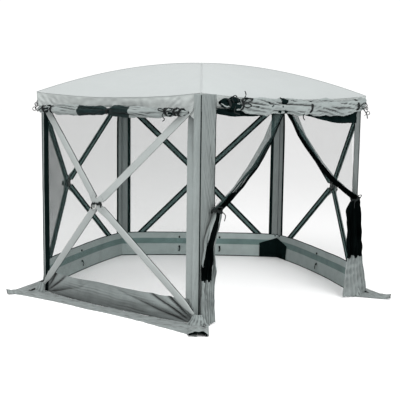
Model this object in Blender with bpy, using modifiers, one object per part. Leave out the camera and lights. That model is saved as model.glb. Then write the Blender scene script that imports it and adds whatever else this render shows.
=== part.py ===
"""Five-sided pop-up screen house: fabric shell, hub-and-pole walls and roof, tied-back door curtains.

Metres, +Z up. The origin is at the centre of the footprint, on the ground. The open door faces between
-Y and +X, and one corner points along -Y.
"""

from math import cos, pi, radians, sin, tan

import bmesh
import bpy
from mathutils import Matrix, Vector

SIDES = 5
CORNER_RADIUS = 1.44  # centre to the fabric's corner line
EAVE_Z = 1.748
PEAK_Z = 2.03
DOME_POWER = 1.9  # shape of the roof's ridges: 1 is a straight pyramid
FABRIC = 0.003
GAP = 0.0004

STRIP_WIDTH = 0.064  # narrow enough that the poles clear it when a wall pops inwards
WALL_TOP_Z = 1.672
KICK_TOP_Z = {"front_left": 0.19, "left": 0.26, "back": 0.26, "right": 0.26}
MESH_TOP_Z = 1.655
MESH_BULGE = 0.178
RIDGE_SHARPNESS = 8  # how closely the netting follows the poles' cross
FOOT_BOW = 0.06
FOOT_BOW_HEIGHT = 0.5

SKIRT_WIDTH = 0.25
SKIRT_THICK = 0.002
FLAP_LENGTH = 0.33
FLAP_HALF_WIDTH = 0.08

CANOPY_OUT = 0.051  # how far the roof's rim stands outside the walls
VALANCE_OUT = 0.045
VALANCE_BOTTOM_Z = 1.668

POLE_RADIUS = 0.0055
FERRULE_RADIUS = 0.0070
FERRULE_LENGTH = 0.07
BRACKET_OUT = 0.026  # corner line to the bracket's axis
BRACKET_RADIUS = 0.012
BRACKET_HEIGHT = 0.050
TOP_BRACKET_Z = 1.712
BOTTOM_BRACKET_Z = 0.035
PIVOT_REACH = 0.032  # bracket's axis to the pole's pivot
EAR_THICK = 0.004
EAR_OFFSET = 0.0105  # pole's axis to the middle of an ear
EAR_WIDTH = 0.022

HUB_OUT = 0.205  # walls to the middle of a wall hub
HUB_RADIUS = 0.028
HUB_HEIGHT = 0.030
HUB_EAR_END = 0.075
HUB_TIP = 0.047  # hub's axis to the end of a pole at rest
ROOF_HUB_EAR_END = 0.095
ROOF_HUB_TIP = 0.062
ROOF_HUB_Z = 2.004

ROLL_RADIUS = 0.042
DOOR_ROLL_RADIUS = 0.048
ROLL_OUT = 0.100
ROLL_Z = 1.612
DOOR_ROLL_Z = 1.655
CURTAIN_OUT = 0.004
CURTAIN_THICK = 0.026
RING_RADIUS = 0.018
RING_WIRE = 0.0025

HALF_TURN = pi / SIDES
APOTHEM = CORNER_RADIUS * cos(HALF_TURN)
HALF_WALL = CORNER_RADIUS * sin(HALF_TURN)
FRONT_REACH = CORNER_RADIUS + FLAP_LENGTH
BACK_REACH = FRONT_REACH * cos(HALF_TURN) + FLAP_HALF_WIDTH * sin(HALF_TURN)
CENTRE = Vector((0, (FRONT_REACH - BACK_REACH) / 2, 0))

CORNERS = {"front": -90, "right": -18, "back_right": 54, "back_left": 126, "left": 198}
WALLS = {"front_left": 234, "left": 162, "back": 90, "right": 18}
DOOR_ANGLE = -54

for old in list(bpy.data.objects):
    bpy.data.objects.remove(old, do_unlink=True)

parts = bpy.data.collections.new("screen_house")
cutters = bpy.data.collections.new("screen_house_cutters")
bpy.context.scene.collection.children.link(parts)
bpy.context.scene.collection.children.link(cutters)


def material(name, colour, roughness, metallic=0.0):
    made = bpy.data.materials.new(name)
    made.use_nodes = True
    shader = made.node_tree.nodes["Principled BSDF"]
    shader.inputs["Base Color"].default_value = (*colour, 1)
    shader.inputs["Roughness"].default_value = roughness
    shader.inputs["Metallic"].default_value = metallic
    made.diffuse_color = (*colour, 1)
    return made


LIGHT_CLOTH = material("roof_cloth", (0.63, 0.66, 0.65), 0.75)
GREY_CLOTH = material("grey_cloth", (0.30, 0.33, 0.32), 0.80)
NETTING = material("black_netting", (0.02, 0.02, 0.02), 0.90)
FIBREGLASS = material("pole_fibreglass", (0.03, 0.03, 0.03), 0.35)
PLASTIC = material("black_plastic", (0.02, 0.02, 0.02), 0.50)
STEEL = material("ring_steel", (0.60, 0.60, 0.60), 0.30, 1.0)


def polar(angle_degrees, radius, z=0.0):
    angle = radians(angle_degrees)
    return Vector((radius * cos(angle), radius * sin(angle), z))


def wall_matrix(angle_degrees):
    """Local +X runs along the wall, -Y points out of the shelter and +Z up, from the wall's foot."""
    turn = Matrix.Rotation(radians(angle_degrees + 90), 4, "Z")
    return Matrix.Translation(CENTRE + polar(angle_degrees, APOTHEM)) @ turn


def corner_matrix(angle_degrees, z=0.0):
    """Local +X points out along the corner's radius, from the corner line at height z."""
    turn = Matrix.Rotation(radians(angle_degrees), 4, "Z")
    return Matrix.Translation(CENTRE + polar(angle_degrees, CORNER_RADIUS, z)) @ turn


def add_part(name, data, look, matrix=None, smooth=False):
    made = bpy.data.objects.new(name, data)
    data.materials.clear()
    data.materials.append(look)
    parts.objects.link(made)
    if matrix is not None:
        made.matrix_world = matrix
    if smooth:
        data.shade_smooth()
        data.set_sharp_from_angle(angle=radians(40))
    return made


def finish(bm, name):
    bmesh.ops.recalc_face_normals(bm, faces=bm.faces)
    data = bpy.data.meshes.new(name)
    bm.to_mesh(data)
    bm.free()
    return data


def box(bm, size, matrix):
    made = bmesh.ops.create_cube(bm, size=1.0)
    bmesh.ops.scale(bm, vec=size, verts=made["verts"])
    bmesh.ops.transform(bm, matrix=matrix, verts=made["verts"])


def cylinder(bm, radius, height, matrix, sides=20):
    made = bmesh.ops.create_cone(
        bm, cap_ends=True, segments=sides, radius1=radius, radius2=radius, depth=height
    )
    bmesh.ops.transform(bm, matrix=matrix, verts=made["verts"])


def aimed(origin, along, across):
    """A frame at origin with +X along and +Y as near to across as it can be."""
    x = Vector(along).normalized()
    z = x.cross(Vector(across)).normalized()
    y = z.cross(x)
    turn = Matrix((x, y, z)).transposed().to_4x4()
    return Matrix.Translation(Vector(origin)) @ turn


def prism(outline, height, name):
    """A flat outline in X and Y, height thick, standing on Z = 0."""
    bm = bmesh.new()
    face = bm.faces.new([bm.verts.new((x, y, 0)) for x, y in outline])
    raised = bmesh.ops.extrude_face_region(bm, geom=[face])
    verts = [g for g in raised["geom"] if isinstance(g, bmesh.types.BMVert)]
    bmesh.ops.translate(bm, vec=(0, 0, height), verts=verts)
    return finish(bm, name)


def union_of(pieces, name):
    """One closed mesh from overlapping closed meshes, joined by Boolean unions."""
    base = bpy.data.objects.new(name, pieces[0])
    cutters.objects.link(base)
    helpers = []
    for number, piece in enumerate(pieces[1:]):
        helper = bpy.data.objects.new(f"{name}_add_{number}", piece)
        helper.display_type = "WIRE"
        helper.hide_render = True
        cutters.objects.link(helper)
        helpers.append(helper)
        joined = base.modifiers.new(f"union_{number}", "BOOLEAN")
        joined.operation = "UNION"
        joined.solver = "EXACT"
        joined.object = helper
    graph = bpy.context.evaluated_depsgraph_get()
    data = bpy.data.meshes.new_from_object(base.evaluated_get(graph))
    for used in [base, *helpers]:
        bpy.data.objects.remove(used, do_unlink=True)
    data.name = name
    return data


def shell(rows, name, thick=FABRIC, side=1.0):
    """A sheet through rows of points, made thick towards one side of it."""
    bm = bmesh.new()
    made = [[bm.verts.new(p) for p in row] for row in rows]
    for low, high in zip(made, made[1:]):
        for k in range(len(low) - 1):
            bm.faces.new((low[k], low[k + 1], high[k + 1], high[k]))
    data = bpy.data.meshes.new(name)
    bm.to_mesh(data)
    bm.free()
    return data, (thick, side)


def add_shell(name, sheet, look, matrix=None):
    data, (thick, side) = sheet
    made = add_part(name, data, look, matrix)
    solid = made.modifiers.new("thickness", "SOLIDIFY")
    solid.thickness = thick
    solid.offset = side
    solid.use_even_offset = True
    return made


def ridge_z(radius):
    """Height of the roof's outer face above a corner's radius."""
    rim = CORNER_RADIUS + CANOPY_OUT / cos(HALF_TURN)
    return EAVE_Z + (PEAK_Z - EAVE_Z) * (1 - (radius / rim) ** DOME_POWER)


def roof_canopy():
    """The domed roof: flat facets between five bowed ridges, from the rim to the peak."""
    rim = CORNER_RADIUS + CANOPY_OUT / cos(HALF_TURN)
    bm = bmesh.new()
    rings = []
    for s in (1.0, 0.87, 0.72, 0.55, 0.37, 0.18):
        spots = [polar(angle, rim * s, ridge_z(rim * s)) for angle in CORNERS.values()]
        rings.append([bm.verts.new(CENTRE + spot) for spot in spots])
    peak = bm.verts.new(CENTRE + Vector((0, 0, PEAK_Z)))
    for low, high in zip(rings, rings[1:]):
        for k in range(SIDES):
            n = (k + 1) % SIDES
            bm.faces.new((low[k], low[n], high[n], high[k]))
    for k in range(SIDES):
        bm.faces.new((rings[-1][k], rings[-1][(k + 1) % SIDES], peak))
    data = bpy.data.meshes.new("roof_canopy")
    bm.to_mesh(data)
    bm.free()
    add_shell("roof_canopy", (data, (FABRIC, -1.0)), LIGHT_CLOTH)


def valance():
    """The band that hangs from the rim all the way round."""
    radius = (APOTHEM + VALANCE_OUT) / cos(HALF_TURN)
    rows = []
    for z in (VALANCE_BOTTOM_Z, EAVE_Z - 0.008):
        row = [CENTRE + polar(angle, radius, z) for angle in CORNERS.values()]
        rows.append(row + row[:1])
    data, _ = shell(rows, "roof_valance")
    bm = bmesh.new()
    bm.from_mesh(data)
    bmesh.ops.remove_doubles(bm, verts=bm.verts, dist=0.00005)
    add_shell("roof_valance", (finish(bm, "roof_valance"), (FABRIC, 0.0)), GREY_CLOTH)


def corner_strips():
    """Cloth that wraps each corner, a wing on each of the two walls."""
    back, out = -STRIP_WIDTH * sin(HALF_TURN), STRIP_WIDTH * cos(HALF_TURN)
    line = [(back, -out), (0.0, 0.0), (back, out)]
    rows = [[(x, y, z) for x, y in line] for z in (0.0, WALL_TOP_Z)]
    for name, angle in CORNERS.items():
        sheet = shell(rows, f"corner_strip_{name}", side=0.0)
        add_shell(f"corner_strip_{name}", sheet, GREY_CLOTH, corner_matrix(angle))


def cloth_out(x, z):
    """How far a wall's cloth stands outside the wall's plane: most at the hub, and a bow at the foot."""
    hub_z = (TOP_BRACKET_Z + BOTTOM_BRACKET_Z) / 2
    across = abs(x) / HALF_WALL
    up = (z - hub_z) / (TOP_BRACKET_Z - hub_z) if z > hub_z else (hub_z - z) / hub_z
    far = (across**RIDGE_SHARPNESS + up**RIDGE_SHARPNESS) ** (1 / RIDGE_SHARPNESS)
    foot = max(0.0, 1 - z / FOOT_BOW_HEIGHT) ** 2
    return MESH_BULGE * max(0.0, 1 - far) + FOOT_BOW * (1 - across**2) * foot


def cloth_rows(low, high, count):
    half = HALF_WALL - STRIP_WIDTH - GAP
    edge_out = [cloth_out(half, z) for z in (low, high)]
    rows = []
    for j in range(count + 1):
        z = low + (high - low) * j / count
        xs = [half * (k / 5 - 1) for k in range(11)]
        base = edge_out[0] + (edge_out[1] - edge_out[0]) * j / count
        rows.append([(x, -max(0.0, cloth_out(x, z) - base), z) for x in xs])
    return rows


def wall_cloth():
    """The netting and the solid panel below it, for each wall with poles."""
    for name, angle in WALLS.items():
        place = wall_matrix(angle)
        kick = KICK_TOP_Z[name]
        netting = shell(cloth_rows(kick + GAP, MESH_TOP_Z, 8), f"mesh_panel_{name}", side=0.0)
        add_shell(f"mesh_panel_{name}", netting, NETTING, place)
        low = SKIRT_THICK + 2 * GAP
        panel = shell(cloth_rows(low, kick - GAP, 2), f"kick_panel_{name}", side=0.0)
        add_shell(f"kick_panel_{name}", panel, GREY_CLOTH, place)


def ground_skirt():
    """The apron on the ground along the four closed walls, with a tongue at each corner."""
    half, tip = FLAP_HALF_WIDTH, FLAP_LENGTH
    start = 0.006
    notch = start - half * tan(HALF_TURN)
    meet = (SKIRT_WIDTH - half * sin(HALF_TURN)) / cos(HALF_TURN)
    order = ["front", "left", "back_left", "back_right", "right"]
    outer, inner = [], []
    for name in order:
        first = notch if name == order[0] else meet
        last = notch if name == order[-1] else meet
        place = corner_matrix(CORNERS[name])
        for x, y in ((first, half), (tip, half), (tip, -half), (last, -half)):
            outer.append(place @ Vector((x, y, 0)))
        inner.append(place @ Vector((start, 0, 0)))
    outline = [(point.x, point.y) for point in outer + inner[::-1]]
    data = prism(outline, SKIRT_THICK, "ground_skirt")
    add_part("ground_skirt", data, GREY_CLOTH)


def ears(along, across, reach, start):
    """Two plates either side of a pole that leaves along, spaced across it."""
    found = []
    for way in (-1, 1):
        bm = bmesh.new()
        place = aimed((0, 0, 0), along, across)
        middle = Matrix.Translation(((reach + start) / 2, way * EAR_OFFSET, 0))
        box(bm, (reach - start, EAR_THICK, EAR_WIDTH), place @ middle)
        found.append(finish(bm, "ear"))
    return found


def wall_pole_line(side, level):
    """(bracket's axis, hub's middle) of a wall pole, in the wall's own frame. side is -1 or 1."""
    x = side * (HALF_WALL + BRACKET_OUT * sin(HALF_TURN))
    bracket = Vector((x, -BRACKET_OUT * cos(HALF_TURN), level))
    hub = Vector((0, -HUB_OUT, (TOP_BRACKET_Z + BOTTOM_BRACKET_Z) / 2))
    return bracket, hub


def bracket_core():
    bm = bmesh.new()
    cylinder(bm, BRACKET_RADIUS, BRACKET_HEIGHT, Matrix.Identity(4))
    return finish(bm, "bracket_core")


def corner_brackets():
    """A socket at the top and the bottom of each corner, with ears for the poles that meet there."""
    for name, level in (("top", TOP_BRACKET_Z), ("bottom", BOTTOM_BRACKET_Z)):
        pieces = [bracket_core()]
        for side in (-1, 1):
            bracket, hub = wall_pole_line(side, level)
            along = hub - bracket
            across = Vector((along.z, 0, -along.x))
            turn = Matrix.Rotation(pi / 2 - side * HALF_TURN, 3, "Z")
            flat = Vector((along.x, 0, along.z))
            pieces += ears(turn @ flat, turn @ across, PIVOT_REACH + 0.008, 0.004)
        if name == "top":
            pieces += ears((-1, 0, 0.62), (0, 1, 0), 0.050, 0.004)
        one = union_of(pieces, f"{name}_bracket")
        out = Matrix.Translation((BRACKET_OUT, 0, 0))
        for corner, angle in CORNERS.items():
            place = corner_matrix(angle, level) @ out
            add_part(f"{name}_bracket_{corner}", one, PLASTIC, place)


def pole_profile(length):
    """Radius against distance along a wall pole, with a ferrule on each end."""
    slope = 0.004
    return [
        (0.0, 0.0),
        (FERRULE_RADIUS, 0.0),
        (FERRULE_RADIUS, FERRULE_LENGTH),
        (POLE_RADIUS, FERRULE_LENGTH + slope),
        (POLE_RADIUS, length - FERRULE_LENGTH - slope),
        (FERRULE_RADIUS, length - FERRULE_LENGTH),
        (FERRULE_RADIUS, length),
        (0.0, length),
    ]


def turned(profile, name, steps=10):
    """A round bar along +X from its pivot, turned from a profile of radius against length."""
    bm = bmesh.new()
    made = [bm.verts.new((along, radius, 0)) for radius, along in profile]
    for a, b in zip(made, made[1:]):
        bm.edges.new((a, b))
    bmesh.ops.spin(
        bm,
        geom=list(bm.verts) + list(bm.edges),
        cent=(0, 0, 0),
        axis=(1, 0, 0),
        angle=2 * pi,
        steps=steps,
        use_merge=True,
    )
    bmesh.ops.remove_doubles(bm, verts=bm.verts, dist=0.00005)
    return finish(bm, name)


def wall_poles():
    """Four poles on each wall, from the corner brackets to the wall's hub."""
    for wall, angle in WALLS.items():
        place = wall_matrix(angle)
        for level_name, level in (("upper", TOP_BRACKET_Z), ("lower", BOTTOM_BRACKET_Z)):
            for side_name, side in (("left", -1), ("right", 1)):
                bracket, hub = wall_pole_line(side, level)
                flat = Vector((hub.x - bracket.x, 0, hub.z - bracket.z)).normalized()
                pivot = bracket + flat * PIVOT_REACH
                tip = hub - flat * HUB_TIP
                across = flat.cross(Vector((0, 1, 0)))
                length = (tip - pivot).length + 0.006
                name = f"pole_{wall}_{level_name}_{side_name}"
                bar = turned(pole_profile(length), name)
                bmesh_shift(bar, -0.006)
                start = place @ aimed(pivot, tip - pivot, across)
                add_part(name, bar, FIBREGLASS, start, smooth=True)


def bmesh_shift(data, along):
    data.transform(Matrix.Translation((along, 0, 0)))


def hub_mesh(directions, ear_end, name):
    """A round plate with a pair of ears for each pole, its axis along +Z."""
    bm = bmesh.new()
    cylinder(bm, HUB_RADIUS, HUB_HEIGHT, Matrix.Identity(4), 24)
    pieces = [finish(bm, name)]
    for direction in directions:
        across = Vector((0, 0, 1)).cross(direction)
        pieces += ears(direction, across, ear_end, 0.016)
    return union_of(pieces, name)


def wall_hubs():
    """The hub that each wall's four poles push outwards, and the ring that pulls it back out."""
    for wall, angle in WALLS.items():
        directions = []
        for level in (TOP_BRACKET_Z, BOTTOM_BRACKET_Z):
            for side in (-1, 1):
                bracket, hub = wall_pole_line(side, level)
                directions.append(Vector((bracket.x, level - hub.z, 0)).normalized())
        face = Matrix.Rotation(pi / 2, 4, "X")
        place = wall_matrix(angle) @ Matrix.Translation(hub) @ face
        data = hub_mesh(directions, HUB_EAR_END, f"wall_hub_{wall}")
        add_part(f"wall_hub_{wall}", data, PLASTIC, place)
        drop = Matrix.Translation((-0.024, -0.018, HUB_HEIGHT / 2 + RING_WIRE + 0.005))
        ring = ring_mesh(RING_RADIUS + 0.003, RING_WIRE + 0.0005, f"pull_ring_{wall}")
        add_part(f"pull_ring_{wall}", ring, STEEL, place @ drop, smooth=True)


def roof_pole_points():
    """The bowed line of a roof pole in a corner's own frame, seen from the shelter's axis."""
    start = CORNER_RADIUS + BRACKET_OUT - 0.036
    below = 0.021
    found = []
    for k in range(15):
        radius = start + (ROOF_HUB_TIP - start) * k / 14
        lower = below + 0.018 * (radius / start) ** 8
        found.append(Vector((radius, 0, ridge_z(radius) - lower)))
    return found


def roof_poles():
    """Five bowed poles from the top brackets to the roof hub."""
    for name, angle in CORNERS.items():
        points = roof_pole_points()
        pivot = points[0]
        curve = bpy.data.curves.new(f"pole_roof_{name}", "CURVE")
        curve.dimensions = "3D"
        curve.bevel_depth = POLE_RADIUS
        curve.bevel_resolution = 2
        curve.use_fill_caps = True
        line = curve.splines.new("POLY")
        line.points.add(len(points) - 1)
        for made, point in zip(line.points, points):
            made.co = (*(point - pivot), 1)
        turn = Matrix.Rotation(radians(angle), 4, "Z")
        spot = Matrix.Translation(CENTRE) @ turn @ Matrix.Translation(pivot)
        pole = bpy.data.objects.new(f"pole_roof_{name}", curve)
        curve.materials.append(FIBREGLASS)
        parts.objects.link(pole)
        pole.matrix_world = spot


def roof_hub():
    directions = [polar(angle, 1) for angle in CORNERS.values()]
    data = hub_mesh(directions, ROOF_HUB_EAR_END, "roof_hub")
    add_part("roof_hub", data, PLASTIC, Matrix.Translation(CENTRE + Vector((0, 0, ROOF_HUB_Z))))


def sausage(radius, half, sag, name):
    """A rolled panel along X that sags in the middle and narrows at both ends."""
    bm = bmesh.new()
    stations = [-1.0, -0.95, -0.6, -0.2, 0.2, 0.6, 0.95, 1.0]
    sides = 12
    rings = []
    for s in stations:
        size = radius * (0.62 if abs(s) == 1.0 else 1.0)
        drop = -sag * (1 - s * s)
        ring = []
        for k in range(sides):
            turn = 2 * pi * k / sides
            ring.append(bm.verts.new((half * s, size * cos(turn), drop + size * sin(turn))))
        rings.append(ring)
    for a, b in zip(rings, rings[1:]):
        for k in range(sides):
            n = (k + 1) % sides
            bm.faces.new((a[k], a[n], b[n], b[k]))
    bm.faces.new(rings[0])
    bm.faces.new(rings[-1])
    return finish(bm, name)


def rolled_panels():
    """The two solid panels rolled up under the eave: over the front left wall and over the door."""
    place = wall_matrix(WALLS["front_left"]) @ Matrix.Translation((0, -ROLL_OUT, ROLL_Z))
    roll = sausage(ROLL_RADIUS, 0.84, 0.012, "wind_panel_roll")
    add_part("wind_panel_roll", roll, GREY_CLOTH, place, smooth=True)
    place = wall_matrix(DOOR_ANGLE) @ Matrix.Translation((0, -ROLL_OUT - 0.004, DOOR_ROLL_Z))
    roll = sausage(DOOR_ROLL_RADIUS, 0.82, 0.030, "door_panel_roll")
    add_part("door_panel_roll", roll, GREY_CLOTH, place, smooth=True)


def curtain_outline(side):
    """Half a curtain's outline as (distance from the door's middle, height), free edge first."""
    if side < 0:
        free = [
            (0.004, 1.615), (0.13, 1.40), (0.30, 1.19), (0.46, 1.03), (0.60, 0.92), (0.665, 0.86),
            (0.66, 0.76), (0.645, 0.55), (0.65, 0.30), (0.64, 0.004),
        ]
        fixed = [(0.79, 0.004), (0.785, 0.45), (0.775, 0.86), (0.80, 0.95), (0.80, 1.615)]
    else:
        free = [
            (0.004, 1.615), (0.13, 1.42), (0.30, 1.22), (0.46, 1.06), (0.62, 0.94), (0.735, 0.86),
            (0.72, 0.70), (0.715, 0.50), (0.705, 0.30), (0.68, 0.004),
        ]
        fixed = [(0.815, 0.004), (0.815, 0.10), (0.84, 0.14), (0.835, 0.86), (0.80, 0.95), (0.80, 1.615)]
    return [(side * x, z) for x, z in free + fixed]


def door_curtains():
    """Each curtain is full width at the top, tied to its corner halfway down and hangs below the tie."""
    place = wall_matrix(DOOR_ANGLE) @ Matrix.Translation((0, -CURTAIN_OUT, 0))
    for name, side in (("left", -1), ("right", 1)):
        data = prism(curtain_outline(side), CURTAIN_THICK, f"door_curtain_{name}")
        data.transform(Matrix.Rotation(pi / 2, 4, "X"))
        add_part(f"door_curtain_{name}", data, NETTING, place)


def ring_mesh(radius, wire, name):
    bm = bmesh.new()
    made = []
    turns, sides = 20, 8
    for k in range(turns):
        a = 2 * pi * k / turns
        ring = []
        for m in range(sides):
            b = 2 * pi * m / sides
            far = radius + wire * cos(b)
            ring.append(bm.verts.new((far * cos(a), far * sin(a), wire * sin(b))))
        made.append(ring)
    for a, b in zip(made, made[1:] + made[:1]):
        for m in range(sides):
            n = (m + 1) % sides
            bm.faces.new((a[m], b[m], b[n], a[n]))
    return finish(bm, name)


roof_canopy()
valance()
corner_strips()
wall_cloth()
ground_skirt()
corner_brackets()
wall_poles()
wall_hubs()
roof_poles()
roof_hub()
rolled_panels()
door_curtains()
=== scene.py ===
from math import atan2, cos, hypot, pi, radians, sin, tan

import bmesh
import bpy
import numpy as np
from mathutils import Matrix, Vector, noise


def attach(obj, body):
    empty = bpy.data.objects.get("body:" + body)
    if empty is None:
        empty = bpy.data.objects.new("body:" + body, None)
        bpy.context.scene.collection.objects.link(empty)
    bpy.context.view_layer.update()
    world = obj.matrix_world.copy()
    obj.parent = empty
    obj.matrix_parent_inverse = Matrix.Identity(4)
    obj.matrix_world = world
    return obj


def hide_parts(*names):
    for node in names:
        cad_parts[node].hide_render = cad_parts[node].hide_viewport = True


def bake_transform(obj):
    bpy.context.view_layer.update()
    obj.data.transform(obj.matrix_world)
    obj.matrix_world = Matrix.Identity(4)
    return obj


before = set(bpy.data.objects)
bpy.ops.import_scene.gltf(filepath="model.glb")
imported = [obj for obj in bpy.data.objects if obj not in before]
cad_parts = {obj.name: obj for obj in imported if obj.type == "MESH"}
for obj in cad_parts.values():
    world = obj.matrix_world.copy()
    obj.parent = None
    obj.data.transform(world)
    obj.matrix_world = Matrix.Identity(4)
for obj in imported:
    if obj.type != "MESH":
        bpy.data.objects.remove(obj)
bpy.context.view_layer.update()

# Metres and degrees throughout. The shelter's own dimensions repeat those of the CAD model.
RADIUS = 1.44  # centre to a corner
HALF = pi / 5
TURN = 36  # degrees from a corner to the middle of a wall
APOTHEM = RADIUS * cos(HALF)
HALF_WALL = RADIUS * sin(HALF)
TONGUE_REACH = 1.77  # centre to the tip of a tongue
CENTRE = Vector(
    (0, 0.5 * (TONGUE_REACH - (TONGUE_REACH * cos(HALF) + 0.08 * sin(HALF))), 0)
)
EAVE, PEAK = 1.748, 2.03
RIM = RADIUS + 0.047  # centre to a corner of the roof
TOP_Z, FOOT_Z = 1.712, 0.035  # heights of the corner brackets
HUB_Z = 0.8735
HUB_OUT = 0.205  # wall to the middle of its hub
BRACKET_OUT = 0.026
NET_TOP = 1.665
BULGE = 0.178  # how far the poles push the netting out
FOOT_BOW, FOOT_BOW_TOP = 0.06, 0.5
STRIP = 0.10  # cloth beside a corner, of which WING stays with the corner and the rest with the wall
WING = 0.062
CORNERS = {"front": -90, "right": -18, "back_right": 54, "back_left": 126, "left": 198}
WALLS = {"front_left": 234, "left": 162, "back": 90, "right": 18}
DOOR = -54
KICK = {"front_left": 0.19, "left": 0.26, "back": 0.26, "right": 0.26}


# --- frames and noise


def polar(angle, radius, z=0.0):
    """A vector in the direction of an angle in degrees."""
    a = radians(angle)
    return Vector((radius * cos(a), radius * sin(a), z))


def up(z):
    """A vertical vector."""
    return Vector((0, 0, z))


def on_wall(angle, x, out, z):
    """A point x along a wall (to the right, seen from outside), out from it, at height z."""
    return CENTRE + polar(angle, APOTHEM + out) + polar(angle + 90, x) + up(z)


def on_corner(angle, out, along, z):
    """A point out from a corner and along from it, across the corner's direction."""
    return CENTRE + polar(angle, RADIUS + out) + polar(angle + 90, along) + up(z)


def rough(x, y, z=0.0):
    """Smooth noise from -1 to 1, the same each run."""
    return noise.noise(Vector((x, y, z)))


def step(a, b, t):
    """0 where t is at a, 1 where it is at b, and smooth between them."""
    t = min(1.0, max(0.0, (t - a) / (b - a)))
    return t * t * (3 - 2 * t)


def from_hub(z):
    """0 at the hub's height, 1 at the wall's top and foot."""
    return (z - HUB_Z) / (TOP_Z - HUB_Z) if z > HUB_Z else (HUB_Z - z) / HUB_Z


def cloth_out(x, z):
    """How far a wall's cloth stands out at x along it and height z."""
    across = abs(x) / HALF_WALL
    far = (across**8 + from_hub(z) ** 8) ** 0.125
    foot = max(0.0, 1 - z / FOOT_BOW_TOP) ** 2
    return BULGE * max(0.0, 1 - far) + FOOT_BOW * (1 - across**2) * foot


# --- materials


class Nodes:
    """A small helper to wire a material's nodes."""

    def __init__(self, name):
        self.mat = bpy.data.materials.new(name)
        self.mat.use_nodes = True
        self.tree = self.mat.node_tree
        self.shader = self.tree.nodes["Principled BSDF"]
        self.out = self.tree.nodes["Material Output"]
        self.coords = self.tree.nodes.new("ShaderNodeTexCoord").outputs["Object"]

    def add(self, kind, **values):
        node = self.tree.nodes.new(kind)
        for key, value in values.items():
            if hasattr(node, key):
                setattr(node, key, value)
            else:
                node.inputs[key].default_value = value
        return node

    def link(self, a, b):
        self.tree.links.new(a, b)

    def set(self, name, value):
        self.shader.inputs[name].default_value = value

    def stretched(self, scale):
        node = self.add("ShaderNodeMapping")
        node.inputs["Scale"].default_value = scale
        self.link(self.coords, node.inputs["Vector"])
        return node.outputs["Vector"]

    def noise(self, scale, detail=4.0, roughness=0.55, vector=None):
        node = self.add("ShaderNodeTexNoise", Scale=scale, Detail=detail, Roughness=roughness)
        self.link(vector or self.coords, node.inputs["Vector"])
        return node.outputs["Fac"]

    def waves(self, scale, direction):
        node = self.add("ShaderNodeTexWave", wave_type="BANDS", bands_direction=direction, Scale=scale)
        node.inputs["Distortion"].default_value = 0.3
        self.link(self.coords, node.inputs["Vector"])
        return node.outputs["Fac"]

    def math(self, operation, a, b):
        node = self.add("ShaderNodeMath", operation=operation)
        for socket, value in zip(node.inputs, (a, b)):
            if isinstance(value, (int, float)):
                socket.default_value = value
            else:
                self.link(value, socket)
        return node.outputs[0]

    def ramp(self, fac, low, high, start=0.3, end=0.7):
        node = self.add("ShaderNodeValToRGB")
        node.color_ramp.elements[0].position = start
        node.color_ramp.elements[1].position = end
        node.color_ramp.elements[0].color = (*low, 1)
        node.color_ramp.elements[1].color = (*high, 1)
        self.link(fac, node.inputs["Fac"])
        return node.outputs["Color"]

    def bump(self, height, strength, distance, normal=None):
        node = self.add("ShaderNodeBump", Strength=strength, Distance=distance)
        self.link(height, node.inputs["Height"])
        if normal is not None:
            self.link(normal, node.inputs["Normal"])
        return node.outputs["Normal"]


def shade(colour, amount):
    """A lighter or darker colour."""
    return tuple(max(0.0, c * amount) for c in colour)


def cloth(name, colour, spread=0.10, crinkle=0.5, sheen=0.12, rough_value=0.8, weave=420.0, gloss=0.2):
    """Woven coated cloth: a fine weave, soft creases, patches of tone, and painted shade in its folds.
    """
    n = Nodes(name)
    patches = n.noise(6.0, 5.0)
    fine = n.noise(60.0, 3.0)
    tone = n.math("ADD", n.math("MULTIPLY", patches, 0.75), n.math("MULTIPLY", fine, 0.25))
    colours = n.ramp(tone, shade(colour, 1 - spread), shade(colour, 1 + spread))
    # The folds attribute carries painted shade: darker hollows and slightly lighter ridges.
    folds = n.add("ShaderNodeAttribute", attribute_name="folds")
    mix = n.add("ShaderNodeMix", data_type="RGBA", blend_type="MULTIPLY")
    mix.inputs[0].default_value = 1.0
    n.link(colours, mix.inputs[6])
    n.link(folds.outputs["Color"], mix.inputs[7])
    n.link(mix.outputs[2], n.shader.inputs["Base Color"])
    threads = n.math("MAXIMUM", n.waves(weave, "DIAGONAL"), n.waves(weave, "Z"))
    creases = n.noise(9.0, 6.0, 0.6)
    first = n.bump(creases, crinkle, 0.02)
    n.link(n.bump(threads, 0.25, 0.0004, first), n.shader.inputs["Normal"])
    n.set("Roughness", rough_value)
    n.set("Sheen Weight", sheen)
    n.set("Sheen Roughness", 0.5)
    n.set("Specular IOR Level", gloss)
    return n.mat


def netting(name, cover, colour=(0.012, 0.016, 0.016), patchy=0.0):
    """Fine insect netting: dark threads with open holes between them."""
    n = Nodes(name)
    clear = n.add("ShaderNodeBsdfTransparent")
    mix = n.add("ShaderNodeMixShader")
    weave = n.math("MAXIMUM", n.waves(700.0, "X"), n.waves(700.0, "Z"))
    holes = n.math("MULTIPLY", n.math("POWER", weave, 3.0), cover * 0.5)
    amount = n.math("ADD", holes, cover * 0.82)
    if patchy:
        clouds = n.math("MULTIPLY", n.noise(5.0, 4.0), patchy)
        amount = n.math("ADD", amount, clouds)
    n.link(amount, mix.inputs["Fac"])
    n.link(clear.outputs[0], mix.inputs[1])
    n.link(n.shader.outputs[0], mix.inputs[2])
    n.link(mix.outputs[0], n.out.inputs["Surface"])
    tone = n.ramp(n.noise(30.0), shade(colour, 0.8), shade(colour, 1.3))
    n.link(tone, n.shader.inputs["Base Color"])
    n.set("Roughness", 0.9)
    n.set("Specular IOR Level", 0.1)
    return n.mat


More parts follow.
